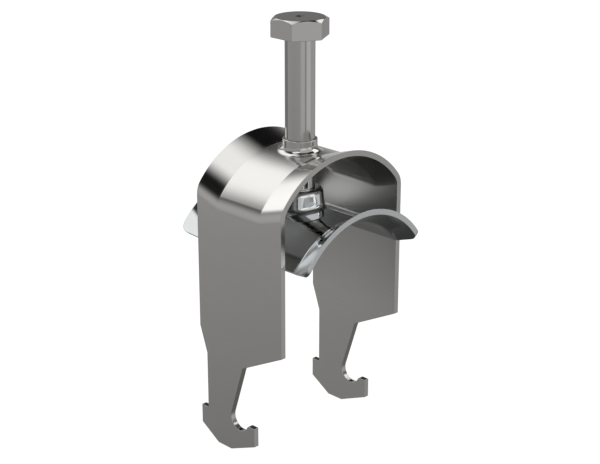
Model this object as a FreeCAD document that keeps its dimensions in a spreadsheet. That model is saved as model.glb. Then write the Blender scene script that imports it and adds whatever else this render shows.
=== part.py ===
import FreeCAD, Part
import math
import os
from enum import IntEnum
import Sketcher

# Cable clamp for a slotted support rail, in millimetres.
# A sheet strap is bent into an upside-down U whose two legs end in hooks for the rail's lips.
# A hexagon bolt runs in a threaded collar drawn out of the strap's crown and pushes a curved
# pressure tray down onto the cable. The tray hangs from the bolt's peened end and a washer.
#
# Frame: X runs across the legs, Y along the cable, Z up. The origin lies on the bolt's axis,
# level with the soles of the hooks.

SIZES = [
    ("sheet", 2.0, "thickness of the strap's sheet"),
    ("strap_width", 56.0, "outer width across the two legs"),
    ("strap_depth", 40.0, "width of the strap along the cable"),
    ("rim_height", 105.5, "sole to the top of the flared rims of the arch"),
    ("band_drop", 3.0, "depth of the level band below the rims"),
    ("band_width", 20.0, "width of the level band along the cable"),
    ("crown_radius", 32.0, "inner radius of the arch's crown"),
    ("corner_radius", 5.0, "inner radius where the crown turns into the legs"),
    ("shoulder_height", 41.75, "sole to the end of the legs' full width"),
    ("neck_height", 32.3, "sole to the top of the legs' narrow part"),
    ("neck_rear", 16.65, "rear edge of the narrow part, from the bolt's axis"),
    ("neck_front", 1.4, "front edge of the narrow part at its top, from the bolt's axis"),
    ("hook_height", 11.7, "sole to the seats that bear on the rail's lips"),
    ("heel_height", 5.0, "sole to the rear end's slanted edge"),
    ("heel_sole", 11.65, "rear end of the sole, from the bolt's axis"),
    ("toe_height", 4.95, "sole to the front tip's slanted edge"),
    ("toe_sole", 5.05, "front end of the sole, from the bolt's axis"),
    ("toe_reach", 6.65, "front face of the tip, from the bolt's axis"),
    ("notch_radius", 4.2, "radius of the front notch"),
    ("notch_floor", 8.7, "sole to the lowest point of the front notch"),
    ("notch_mouth", 3.42, "tip's edge at the notch, from the bolt's axis"),
    ("tip_round", 1.0, "rounding of the tip beside the notch"),
    ("collar_diameter", 11.6, "outer diameter of the threaded collar"),
    ("collar_rise", 3.8, "height of the collar above the level band"),
    ("collar_fillet", 2.3, "fillet between the collar and the band"),
    ("bore_entry", 1.0, "rounding where the bore leaves the arch's inner face"),
    ("bolt_diameter", 10.0, "diameter of the bolt's shank"),
    ("thread_clearance", 0.05, "radial clearance of the shank in the collar"),
    ("head_flats", 17.0, "width across the flats of the bolt's head"),
    ("head_height", 6.4, "height of the bolt's head"),
    ("shank_length", 50.5, "length of the bolt from its shoulder to its head"),
    ("head_crown", 16.2, "diameter of the flat on top of the head, inside its chamfer"),
    ("head_chamfer", 30.0, "slope of the head's chamfer, in degrees"),
    ("dimple_diameter", 3.0, "diameter of the centre mark on the head"),
    ("dimple_depth", 0.9, "depth of the centre mark on the head"),
    ("neck_diameter", 6.0, "diameter of the bolt's neck through the tray"),
    ("neck_clearance", 0.05, "radial clearance of the neck in the tray and the washer"),
    ("end_play", 0.1, "axial play of the tray between shoulder and washer"),
    ("button_diameter", 8.4, "diameter of the peened end"),
    ("button_height", 1.3, "height of the peened end"),
    ("washer_diameter", 9.8, "outer diameter of the retaining washer"),
    ("washer_thickness", 1.2, "thickness of the retaining washer"),
    ("tray_sheet", 2.0, "thickness of the tray's sheet"),
    ("tray_length", 60.0, "length of the tray along the cable"),
    ("seat_length", 45.4, "length of the tray's straight seat, between the flares"),
    ("seat_drop", 19.1, "drop from the arch's inner crown to the seat's underside, as set"),
    ("seat_radius", 29.5, "radius of the seat's underside"),
    ("tray_clearance", 1.3, "gap between the seat's edge and the leg at each side"),
    ("flare_rise", 4.6, "rise of the tray's ends above the seat"),
    ("flare_swell", 0.8, "growth of the underside's radius from seat to ends"),
    ("bend_radius", 2.5, "radius of the bend between seat and flare"),
    ("wing_round", 2.5, "rounding of the tray's four corners"),
    ("boss_height", 6.2, "height of the boss above the seat's crown"),
    ("boss_top", 15.4, "diameter of the boss at its top, before its rounding"),
    ("boss_draft", 0.75, "growth of the boss's radius from top to base"),
    ("boss_round", 2.0, "rounding of the boss's top edge"),
    ("boss_fillet", 2.0, "fillet between the boss and the tray"),
    ("cavity_round", 0.6, "rounding inside the top of the boss"),
    ("cavity_entry", 1.2, "rounding where the boss's hollow opens under the tray"),
]


class Size:
    """A length that carries both its value and the sheet formula that it comes from."""

    def __init__(self, value, formula):
        self.value = value
        self.formula = formula

    def join(self, other, sign, value):
        text = other.formula if isinstance(other, Size) else str(other)
        return Size(value, f"({self.formula} {sign} {text})")

    def __add__(self, other):
        return self.join(other, "+", self.value + float(other))

    def __sub__(self, other):
        return self.join(other, "-", self.value - float(other))

    def __mul__(self, other):
        return self.join(other, "*", self.value * float(other))

    def __truediv__(self, other):
        return self.join(other, "/", self.value / float(other))

    def __neg__(self):
        return Size(-self.value, f"(-{self.formula})")

    def __float__(self):
        return float(self.value)


def slope(angle):
    """Give the tangent of an angle in degrees."""
    return Size(math.tan(math.radians(float(angle))), f"tan({angle.formula} * 1deg)")


def upright(slant, level):
    """Give the third side of a right triangle from its slant and its level side."""
    value = math.sqrt(float(slant) ** 2 - float(level) ** 2)
    return Size(value, f"sqrt({slant.formula}^2 - {level.formula}^2)")


doc = FreeCAD.newDocument("cable_clamp")
sheet = doc.addObject("Spreadsheet::Sheet", "sizes")
dim = {}
for row, (alias, value, meaning) in enumerate(SIZES, start=1):
    sheet.set(f"A{row}", alias)
    sheet.set(f"B{row}", str(value))
    sheet.set(f"C{row}", meaning)
    sheet.setAlias(f"B{row}", alias)
    dim[alias] = Size(value, f"sizes.{alias}")
doc.recompute()

ZERO = Size(0.0, "0")
START, END, CENTRE = IntEnum("Spot", "START END CENTRE")
AXES = IntEnum("Axes", "up across", start=-2)
ORIGIN = (AXES["across"], START)
NEAR = 0.01
EDGE_POINTS = 9

BAND_TOP = dim["rim_height"] - dim["band_drop"]
SEAT = BAND_TOP - dim["sheet"] - dim["seat_drop"]
SHOULDER = SEAT + dim["tray_sheet"] + dim["boss_height"]


def new_body(name):
    body = doc.addObject("PartDesign::Body", name)
    body.Label = name
    body.Placement = FreeCAD.Placement()
    return body


def origin_plane(body, role):
    return next(item for item in body.Origin.OriginFeatures if item.Role == role)


def bind(target, field, size):
    """Set a field of a feature and tie it to the sheet."""
    target.setExpression(field, size.formula)


class Sketch:
    """A sketch on one of a body's origin planes, drawn at its size and tied to the sheet."""

    def __init__(self, body, name, role, offset=None):
        self.item = body.newObject("Sketcher::SketchObject", name)
        self.item.AttachmentSupport = [(origin_plane(body, role), "")]
        self.item.MapMode = "FlatFace"
        if offset is not None:
            base = FreeCAD.Vector(0, 0, float(offset))
            self.item.AttachmentOffset = FreeCAD.Placement(base, FreeCAD.Rotation())
            bind(self.item, "AttachmentOffset.Base.z", offset)

    def line(self, start, end, construction=False):
        ends = [FreeCAD.Vector(float(x), float(y), 0) for x, y in (start, end)]
        return self.item.addGeometry(Part.LineSegment(*ends), construction)

    def circle(self, radius, construction=False):
        curve = Part.Circle(FreeCAD.Vector(), FreeCAD.Vector(0, 0, 1), float(radius))
        index = self.item.addGeometry(curve, construction)
        self.fix("Coincident", index, CENTRE, *ORIGIN)
        return index

    def arc(self, centre, radius, start, end):
        """Add an arc that runs anticlockwise between two angles in radians."""
        middle = FreeCAD.Vector(float(centre[0]), float(centre[1]), 0)
        curve = Part.Circle(middle, FreeCAD.Vector(0, 0, 1), float(radius))
        return self.item.addGeometry(Part.ArcOfCircle(curve, start, end), False)

    def fix(self, kind, *places):
        self.item.addConstraint(Sketcher.Constraint(kind, *places))

    def measure(self, kind, *places, size):
        """Add a dimension whose value follows the sheet."""
        index = self.item.addConstraint(Sketcher.Constraint(kind, *places, float(size)))
        name = f"size_{index}"
        self.item.renameConstraint(index, name)
        bind(self.item, f"Constraints.{name}", size)

    def locate(self, geometry, end, x=None, y=None):
        """Hold one end of a line or arc at a place measured from the origin."""
        for kind, size in (("DistanceX", x), ("DistanceY", y)):
            if size is None:
                continue
            if float(size) == 0.0:
                axis = "up" if kind == "DistanceX" else "across"
                self.fix("PointOnObject", geometry, end, AXES[axis])
            elif float(size) > 0.0:
                self.measure(kind, *ORIGIN, geometry, end, size=size)
            else:
                self.measure(kind, geometry, end, *ORIGIN, size=-size)

    def outline(self, corners):
        """Draw a closed outline of straight lines with each corner held at its place."""
        following = corners[1:] + corners[:1]
        lines = [self.line(start, end) for start, end in zip(corners, following)]
        for index, (x, y) in zip(lines, corners):
            self.fix("Coincident", lines[index - 1], END, index, START)
            self.locate(index, START, x, y)


def add_feature(body, kind, name, **settings):
    feature = body.newObject(f"PartDesign::{kind}", name)
    for field, value in settings.items():
        if isinstance(value, Size):
            setattr(feature, field, float(value))
            bind(feature, field, value)
        else:
            setattr(feature, field, value)
    return feature


def mirror(body, name, feature, role):
    plane = (origin_plane(body, role), [""])
    copy = add_feature(body, "Mirrored", name, Originals=[feature], MirrorPlane=plane)
    body.Tip = copy
    return copy


def round_edges(body, name, radius, wanted):
    """Round every edge of the body so far that the test picks."""
    doc.recompute()
    base = body.Tip
    edges = [f"Edge{n}" for n, edge in enumerate(base.Shape.Edges, start=1) if wanted(edge)]
    if not edges:
        raise ValueError(f"{name} finds no edge to round")
    return add_feature(body, "Fillet", name, Base=(base, edges), Radius=radius)


def between(value, low, high):
    return float(low) - NEAR < value < float(high) + NEAR


def rings_axis(edge, radii, heights):
    """Tell whether an edge runs round the bolt's axis within two radii and two heights."""
    return all(between(math.hypot(point.x, point.y), *radii) and between(point.z, *heights)
               for point in edge.discretize(EDGE_POINTS))


def arch_section(body, name, offset, top):
    """Draw the strap's section across the cable: two legs, two corners and the crown."""
    half = dim["strap_width"] / 2
    gauge = dim["sheet"]
    crown, corner = dim["crown_radius"], dim["corner_radius"]
    foot = dim["shoulder_height"]
    crown_z = float(top - gauge - crown)
    corner_x = float(half - gauge - corner)
    lean = math.acos(corner_x / float(crown - corner))
    corner_z = crown_z + corner_x * math.tan(lean)
    sketch = Sketch(body, name, "XZ_Plane", offset)

    def wall(side, grow):
        """Draw one face of the strap, with its radii grown by a thickness."""
        upright = [sketch.line((x, foot), (x, corner_z)) for x in (-side, side)]
        turns = (
            sketch.arc((-corner_x, corner_z), float(corner) + grow, math.pi - lean, math.pi),
            sketch.arc((corner_x, corner_z), float(corner) + grow, 0, lean),
        )
        arch = sketch.arc((0, crown_z), float(crown) + grow, lean, math.pi - lean)
        sketch.fix("Tangent", upright[0], END, turns[0], END)
        sketch.fix("Tangent", turns[0], START, arch, END)
        sketch.fix("Tangent", arch, START, turns[1], END)
        sketch.fix("Tangent", turns[1], START, upright[1], END)
        for index in upright:
            sketch.fix("Vertical", index)
        return upright, turns, arch

    inner, inner_turns, inner_arch = wall(float(half - gauge), 0.0)
    outer, outer_turns, outer_arch = wall(float(half), float(gauge))
    for side in (0, 1):
        x = -1 if side == 0 else 1
        edge = sketch.line((x * float(half - gauge), foot), (x * float(half), foot))
        sketch.fix("Coincident", edge, START, inner[side], START)
        sketch.fix("Coincident", edge, END, outer[side], START)
        sketch.fix("Horizontal", edge)
        sketch.fix("Coincident", inner_turns[side], CENTRE, outer_turns[side], CENTRE)
    sketch.fix("Coincident", inner_arch, CENTRE, outer_arch, CENTRE)
    sketch.fix("PointOnObject", inner_arch, CENTRE, AXES["up"])
    sketch.locate(outer[1], START, half, foot)
    sketch.locate(outer[0], START, -half)
    sketch.measure("DistanceX", inner[1], START, outer[1], START, size=gauge)
    sketch.measure("Radius", inner_arch, size=crown)
    sketch.measure("Radius", inner_turns[1], size=corner)
    sketch.locate(inner_arch, CENTRE, y=top - gauge - crown)
    return sketch.item


def leg_outline(body, offset):
    """Draw one leg below its full width: shoulders, neck, rear hook, sole, tip and notch."""
    rear, neck = dim["strap_depth"] / 2, dim["neck_height"]
    seat, toe = dim["hook_height"], dim["toe_reach"]
    notch, floor = dim["notch_radius"], dim["notch_floor"]
    mouth, tip = dim["notch_mouth"], dim["tip_round"]
    neck_front = (-dim["neck_front"], neck)
    sketch = Sketch(body, "leg_outline", "YZ_Plane", offset)

    centre = (-float(mouth) + math.sqrt(float(notch) ** 2 - float(floor + notch - seat) ** 2),
              float(floor + notch))
    reach = (float(neck_front[0]) - centre[0], float(neck_front[1]) - centre[1])
    angle = math.atan2(reach[1], reach[0]) - math.acos(float(notch) / math.hypot(*reach))
    touch = (centre[0] + float(notch) * math.cos(angle), centre[1] + float(notch) * math.sin(angle))
    mouth_angle = math.atan2(float(seat) - centre[1], -float(mouth) - centre[0])

    corners = [
        neck_front,
        (-rear, dim["shoulder_height"]),
        (rear, dim["shoulder_height"]),
        (dim["neck_rear"], neck),
        (dim["neck_rear"], seat),
        (rear, seat),
        (rear, dim["heel_height"]),
        (dim["heel_sole"], ZERO),
        (dim["toe_sole"], ZERO),
        (-toe, dim["toe_height"]),
        (-toe, seat),
    ]
    lines = [sketch.line(a, b) for a, b in zip(corners, corners[1:])]
    for number, (index, (x, y)) in enumerate(zip(lines, corners)):
        if number:
            sketch.fix("Coincident", lines[number - 1], END, index, START)
        sketch.locate(index, START, x, y)
    sketch.locate(lines[-1], END, *corners[-1])

    tip_top = sketch.line(corners[-1], (-float(mouth), seat))
    hollow = sketch.arc(centre, notch, mouth_angle, 2 * math.pi + angle)
    neck_edge = sketch.line(touch, neck_front)
    sketch.fix("Coincident", lines[-1], END, tip_top, START)
    sketch.fix("Horizontal", tip_top)
    sketch.fix("Coincident", tip_top, END, hollow, START)
    sketch.fix("Tangent", hollow, END, neck_edge, START)
    sketch.fix("Coincident", neck_edge, END, lines[0], START)
    sketch.locate(tip_top, END, -mouth)
    sketch.measure("Radius", hollow, size=notch)
    sketch.locate(hollow, CENTRE, y=floor + notch)
    return sketch.item


def build_strap():
    body = new_body("clamp_strap")
    half, gauge = dim["strap_width"] / 2, dim["sheet"]

    level = arch_section(body, "band_section", None, BAND_TOP)
    add_feature(body, "Pad", "level_band", Profile=level, Length=dim["band_width"], Midplane=True)
    crease = arch_section(body, "crease_section", dim["band_width"] / 2, BAND_TOP)
    edge = arch_section(body, "rim_section", dim["strap_depth"] / 2, dim["rim_height"])
    flare = add_feature(body, "AdditiveLoft", "front_flare", Profile=crease, Sections=[edge], Ruled=True)
    mirror(body, "rear_flare", flare, "XZ_Plane")

    outline = leg_outline(body, half - gauge)
    leg = add_feature(body, "Pad", "right_leg", Profile=outline, Length=gauge)
    mirror(body, "left_leg", leg, "YZ_Plane")
    mouth, seat = -dim["notch_mouth"], dim["hook_height"]
    round_edges(body, "tip_rounding", dim["tip_round"],
                lambda edge: all(between(v.Y, mouth, mouth) and between(v.Z, seat, seat)
                                 for v in edge.Vertexes))

    wall = dim["collar_diameter"] / 2
    top = BAND_TOP + dim["collar_rise"]
    ring = Sketch(body, "collar_section", "XY_Plane", top)
    ring.measure("Radius", ring.circle(wall), size=wall)
    depth = dim["collar_rise"] + gauge / 2
    add_feature(body, "Pad", "collar", Profile=ring.item, Length=depth, Reversed=True)
    round_edges(body, "collar_blend", dim["collar_fillet"],
                lambda edge: rings_axis(edge, (wall, wall), (BAND_TOP - gauge, BAND_TOP)))

    shank = dim["bolt_diameter"] / 2 + dim["thread_clearance"]
    hole = Sketch(body, "bore_section", "XY_Plane", top)
    hole.measure("Radius", hole.circle(shank), size=shank)
    length = dim["collar_rise"] + gauge * 2
    add_feature(body, "Pocket", "bore", Profile=hole.item, Length=length)
    round_edges(body, "bore_mouth", dim["bore_entry"],
                lambda edge: rings_axis(edge, (shank, shank),
                                        (BAND_TOP - gauge * 2, BAND_TOP - gauge)))
    return body


def build_bolt():
    body = new_body("hex_bolt")
    shank, neck = dim["bolt_diameter"] / 2, dim["neck_diameter"] / 2
    under = SHOULDER + dim["shank_length"]
    neck_end = SHOULDER - dim["tray_sheet"] - dim["end_play"] - dim["washer_thickness"]
    button, bulge = dim["button_diameter"] / 2, dim["button_height"]

    turned = Sketch(body, "shank_section", "XZ_Plane")
    turned.outline([
        (ZERO, under),
        (ZERO, neck_end - bulge),
        (button - bulge / 2, neck_end - bulge),
        (button, neck_end - bulge / 2),
        (button, neck_end),
        (neck, neck_end),
        (neck, SHOULDER),
        (shank, SHOULDER),
        (shank, under),
    ])
    axis = (turned.item, ["V_Axis"])
    add_feature(body, "Revolution", "shank", Profile=turned.item, ReferenceAxis=axis, Angle=360)

    head = Sketch(body, "head_section", "XY_Plane", under)
    flats = dim["head_flats"] / 2
    inscribed = head.circle(flats, construction=True)
    head.measure("Radius", inscribed, size=flats)
    reach = float(flats) / math.cos(math.pi / 6)
    points = [(reach * math.sin(n * math.pi / 3), reach * math.cos(n * math.pi / 3)) for n in range(6)]
    sides = [head.line(a, b) for a, b in zip(points, points[1:] + points[:1])]
    for number, index in enumerate(sides):
        head.fix("Coincident", sides[number - 1], END, index, START)
        head.fix("Tangent", index, inscribed)
    for index in sides[:4]:
        head.fix("Equal", index, sides[4])
    head.fix("PointOnObject", sides[0], START, AXES["up"])
    add_feature(body, "Pad", "head", Profile=head.item, Length=dim["head_height"])

    top = under + dim["head_height"]
    flat, beyond = dim["head_crown"] / 2, dim["head_flats"]
    drop = (beyond - flat) * slope(dim["head_chamfer"])
    bevel = Sketch(body, "chamfer_section", "XZ_Plane")
    bevel.outline([(flat, top), (beyond, top - drop), (beyond, top)])
    axis = (bevel.item, ["V_Axis"])
    add_feature(body, "Groove", "head_chamfering", Profile=bevel.item, ReferenceAxis=axis, Angle=360)

    mark = Sketch(body, "dimple_section", "XZ_Plane")
    mark.outline([(ZERO, top - dim["dimple_depth"]), (dim["dimple_diameter"] / 2, top), (ZERO, top)])
    axis = (mark.item, ["V_Axis"])
    add_feature(body, "Groove", "centre_mark", Profile=mark.item, ReferenceAxis=axis, Angle=360)
    return body


def build_washer():
    body = new_body("retaining_washer")
    top = SHOULDER - dim["tray_sheet"] - dim["end_play"]
    ring = Sketch(body, "washer_section", "XY_Plane", top)
    outer = dim["washer_diameter"] / 2
    inner = dim["neck_diameter"] / 2 + dim["neck_clearance"]
    ring.measure("Radius", ring.circle(outer), size=outer)
    ring.measure("Radius", ring.circle(inner), size=inner)
    add_feature(body, "Pad", "ring", Profile=ring.item, Length=dim["washer_thickness"], Reversed=True)
    return body


def tray_section(body, name, offset, crown, radius):
    """Draw the tray's section before it is trimmed, half a ring about one centre."""
    gauge = dim["tray_sheet"]
    middle = crown - radius
    sketch = Sketch(body, name, "XZ_Plane", offset)
    arcs = [sketch.arc((0, middle), size, 0, math.pi) for size in (radius, radius + gauge)]
    for index, size in zip(arcs, (radius, radius + gauge)):
        sketch.measure("Radius", index, size=size)
    sketch.fix("Coincident", arcs[0], CENTRE, arcs[1], CENTRE)
    sketch.fix("PointOnObject", arcs[0], CENTRE, AXES["up"])
    sketch.locate(arcs[0], CENTRE, y=middle)
    for end, side in ((START, 1), (END, -1)):
        points = [(side * float(size), middle) for size in (radius, radius + gauge)]
        edge = sketch.line(*points)
        sketch.fix("Coincident", edge, START, arcs[0], end)
        sketch.fix("Coincident", edge, END, arcs[1], end)
        sketch.fix("Horizontal", edge)
        sketch.fix("PointOnObject", arcs[0], CENTRE, edge)
    return sketch.item


def build_tray():
    body = new_body("pressure_tray")
    gauge = dim["tray_sheet"]
    crease, end = dim["seat_length"] / 2, dim["tray_length"] / 2
    seat_form = (SEAT, dim["seat_radius"])
    end_form = (SEAT + dim["flare_rise"], dim["seat_radius"] + dim["flare_swell"])

    level = tray_section(body, "seat_section", None, *seat_form)
    add_feature(body, "Pad", "seat", Profile=level, Length=dim["seat_length"], Midplane=True)
    inner_end = tray_section(body, "bend_section", crease, *seat_form)
    outer_end = tray_section(body, "end_section", end, *end_form)
    flare = add_feature(body, "AdditiveLoft", "front_flare", Profile=inner_end,
                        Sections=[outer_end], Ruled=True)
    mirror(body, "rear_flare", flare, "XZ_Plane")

    pivot = SEAT - dim["seat_radius"]
    half_span = dim["strap_width"] / 2 - dim["sheet"] - dim["tray_clearance"]
    beyond = end_form[1] + gauge * 2
    rise = upright(dim["seat_radius"] + gauge, half_span) * (beyond / half_span)
    waste = Sketch(body, "trim_section", "XZ_Plane")
    waste.outline([(ZERO, pivot), (beyond, pivot + rise), (beyond, pivot - gauge)])
    trim = add_feature(body, "Pocket", "right_trim", Profile=waste.item,
                       Length=dim["tray_length"] * 2, Midplane=True)
    mirror(body, "left_trim", trim, "YZ_Plane")

    for name, radius, face in (
            ("bend_top", dim["bend_radius"], dim["seat_radius"] + gauge),
            ("bend_underside", dim["bend_radius"] + gauge, dim["seat_radius"])):
        round_edges(body, name, radius,
                    lambda edge: all(between(abs(point.y), crease, crease)
                                     and between(math.hypot(point.x, point.z - float(pivot)), face, face)
                                     for point in edge.discretize(EDGE_POINTS)))
    round_edges(body, "wing_rounding", dim["wing_round"],
                lambda edge: isinstance(edge.Curve, Part.Line)
                and all(between(abs(v.Y), end, end) for v in edge.Vertexes))

    root = SEAT + gauge / 4
    upper = dim["boss_top"] / 2
    lower = upper + dim["boss_draft"]
    drawn = Sketch(body, "boss_section", "XZ_Plane")
    drawn.outline([(ZERO, root), (lower, root), (upper, SHOULDER), (ZERO, SHOULDER)])
    axis = (drawn.item, ["V_Axis"])
    add_feature(body, "Revolution", "boss", Profile=drawn.item, ReferenceAxis=axis, Angle=360)
    round_edges(body, "boss_shoulder", dim["boss_round"],
                lambda edge: rings_axis(edge, (upper, upper), (SHOULDER, SHOULDER)))
    round_edges(body, "boss_blend", dim["boss_fillet"],
                lambda edge: rings_axis(edge, (upper, lower), (SEAT, SEAT + gauge)))

    hollow = Sketch(body, "cavity_section", "XZ_Plane")
    mouth, roof = lower - gauge, upper - gauge
    floor, ceiling = SEAT - gauge, SHOULDER - gauge
    hollow.outline([(ZERO, floor), (mouth, floor), (roof, ceiling), (ZERO, ceiling)])
    axis = (hollow.item, ["V_Axis"])
    add_feature(body, "Groove", "cavity", Profile=hollow.item, ReferenceAxis=axis, Angle=360)
    round_edges(body, "cavity_corner", dim["cavity_round"],
                lambda edge: rings_axis(edge, (roof, roof), (ceiling, ceiling)))
    round_edges(body, "cavity_mouth", dim["cavity_entry"],
                lambda edge: rings_axis(edge, (roof, mouth), (floor, SEAT)))

    neck = dim["neck_diameter"] / 2 + dim["neck_clearance"]
    hole = Sketch(body, "neck_hole_section", "XY_Plane", SHOULDER)
    hole.measure("Radius", hole.circle(neck), size=neck)
    add_feature(body, "Pocket", "neck_hole", Profile=hole.item, Length=gauge * 2)
    return body


bodies = [build_strap(), build_bolt(), build_washer(), build_tray()]
doc.recompute()
for item in doc.Objects:
    faults = [state for state in item.State if state in ("Invalid", "Error")]
    if faults:
        raise RuntimeError(f"{item.Name} is {faults}")
os.makedirs("parts", exist_ok=True)
for body in bodies:
    shape = body.Shape
    if shape.isNull() or not shape.isValid():
        raise RuntimeError(f"{body.Label} has no valid shape")
    shape.exportStep(f"parts/{body.Label}.step")
    box = shape.optimalBoundingBox(True, False)
    print(body.Label, len(shape.Solids), round(shape.Volume, 1), box)
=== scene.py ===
import math

import bmesh
import bpy
import numpy as np
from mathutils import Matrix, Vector


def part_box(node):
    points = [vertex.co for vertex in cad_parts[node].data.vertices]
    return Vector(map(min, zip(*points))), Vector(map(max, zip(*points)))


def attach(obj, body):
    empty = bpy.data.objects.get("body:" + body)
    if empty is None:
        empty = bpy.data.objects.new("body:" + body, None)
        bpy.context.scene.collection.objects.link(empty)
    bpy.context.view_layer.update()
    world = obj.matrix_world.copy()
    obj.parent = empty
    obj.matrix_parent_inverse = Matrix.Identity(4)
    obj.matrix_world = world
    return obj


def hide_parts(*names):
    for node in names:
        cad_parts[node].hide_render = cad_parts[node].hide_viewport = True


bl_info = {
    "name": "Rail Cable Clamp",
    "version": (1, 0, 0),
    "blender": (4, 5, 0),
    "location": "View3D > Sidebar > Cable Clamp",
    "description": "Builds a bent-sheet cable clamp with its hexagon bolt, washer and pressure tray",
    "category": "Add Mesh",
}

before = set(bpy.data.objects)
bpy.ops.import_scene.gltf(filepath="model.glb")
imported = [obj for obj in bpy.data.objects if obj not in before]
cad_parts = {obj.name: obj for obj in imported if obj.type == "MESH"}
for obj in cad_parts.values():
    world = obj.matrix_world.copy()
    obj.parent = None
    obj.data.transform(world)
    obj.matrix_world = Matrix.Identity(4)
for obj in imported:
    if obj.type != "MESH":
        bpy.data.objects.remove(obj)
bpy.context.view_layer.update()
STRAP_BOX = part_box("clamp_strap")
BOLT_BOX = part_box("hex_bolt")
WASHER_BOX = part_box("retaining_washer")
TRAY_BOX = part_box("pressure_tray")

# points closer than WELD are one point, and edges shorter than TINY are none
WELD, TINY = 1e-6, 1e-7
HEAD_CHAMFER = math.radians(30.0)
# cells from a drawn neck's axis to each side of the square that is left out round it
NECK_CELLS = 16
# steps round the rounding at a neck's foot
FOOT_STEPS = 8
# half the side of the square round the tray's boss
BOSS_FIELD = 0.0105
# distance from the bolt's axis where the strap's sheet is no longer dulled by drawing the collar and
# darkened by painted shade round it
DRAWN_REACH = 0.015

# finishes as (dullness, tone), both from nought to one
POLISHED = np.array([0.0, 1.0])
BRUSHED = np.array([0.32, 1.0])
PRESSED = np.array([0.35, 0.7])
CUT = np.array([0.4, 0.8])
# the centre mark: rougher, and dark with painted shade that stands for the shade inside the dimple
SHADED_MARK = np.array([0.6, 0.3])
# duller from drawing the collar, and darker with painted shade round it
DRAWN_AND_SHADED = np.array([0.75, 0.85])
MATT = np.array([0.75, 1.0])
# dull, and dark with painted shade for the inside of the arch and the collar's bore
SHADED = np.array([1.0, 0.55])

# a steel's roughness where it is fully dull, the scale of its grain's field and its grain's relief
SATIN_GRAIN = (0.24, (1.0, 0.15, 1.0), 0.05)
TURNED_GRAIN = (0.25, (0.3, 0.3, 1.0), 0.1)
MIRROR_GRAIN = (0.2, (1.0, 0.3, 1.0), 0.01)
GRAIN_DEPTH = 2e-5

FLOOR_SIZE = 12.0
FLOOR_GREY = (0.16, 0.16, 0.16, 1.0)
FLOOR_GLOW = 0.96
WHITE = (1.0, 1.0, 1.0, 1.0)
# the photo's camera: its place, the azimuth and elevation that it looks along, lens and film width
CAMERA_PLACE = (-0.31643, -0.32390, 0.23669)
CAMERA_AIM = (45.67, -19.844)
CAMERA_LENS, FILM_WIDTH = 85.89, 36.0

# elevation in degrees and the light of the studio's walls there, about an axis that leans a little
WALL_LIGHT = (
    (-90, 0.05), (-70, 0.075), (-50, 0.15), (-34, 0.25), (-30, 0.3), (-28, 0.335), (-25, 0.36),
    (-20, 0.45), (-14, 0.5), (-5, 0.524), (1, 0.508), (4, 0.485), (7, 0.45), (10, 0.41), (13, 0.35),
    (16, 0.28), (19, 0.215), (22, 0.155), (25, 0.108), (28, 0.07), (31, 0.045), (34, 0.028),
    (37, 0.017), (42, 0.01), (90, 0.005))
WALL_AXIS = (0.114, 0.0, 1.0)
BOX_SIZES = ("Half width", "Half height", "Left edge", "Right edge", "End edge")
# name, azimuth, elevation, roll, the five sizes, all in degrees, and light, which a flag takes away
SOFTBOXES = (
    ("back low", 92.0, 37.0, 8.0, 21.0, 17.5, 12.0, 13.0, 6.0, 1.45),
    ("back high", 98.0, 65.0, 11.0, 18.8, 12.0, 9.3, 15.5, 4.0, 1.33),
    ("back flag", 93.0, -15.0, 0.0, 27.0, 12.0, 6.0, 6.0, 5.0, -0.22),
    ("left", 183.0, 46.0, 0.0, 15.0, 14.0, 2.0, 2.0, 2.0, 1.3),
    ("right", -10.0, 39.0, 0.0, 26.0, 13.0, 2.0, 2.0, 2.0, 1.6),
    ("front", -98.0, 43.0, 0.0, 40.0, 33.0, 10.0, 10.0, 8.0, 0.6),
    ("front left", -113.0, -10.0, 0.0, 15.0, 40.0, 4.0, 4.0, 5.0, 0.13),
    ("front right", -66.0, -10.0, 0.0, 17.0, 40.0, 7.0, 5.0, 7.0, 0.2),
    ("front flag", -92.0, -10.0, 0.0, 3.0, 40.0, 2.0, 2.0, 5.0, -0.2),
    ("side flag", 14.0, -14.0, 0.0, 12.0, 14.0, 4.0, 4.0, 5.0, -0.15),
)


def length(name, millimetres, description):
    """A size property that is shown as a length, with its default given in millimetres."""
    return bpy.props.FloatProperty(
        name=name, description=description, default=millimetres / 1000.0,
        min=0.0, subtype="DISTANCE", unit="LENGTH", precision=5)


def tint(name, colour, description):
    """A colour property without alpha."""
    return bpy.props.FloatVectorProperty(
        name=name, description=description, default=colour, size=3,
        min=0.0, max=1.0, subtype="COLOR")


def gloss(name, value, description):
    """A roughness property, from nought to one."""
    return bpy.props.FloatProperty(
        name=name, description=description, default=value, min=0.0, max=1.0, subtype="FACTOR")


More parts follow.
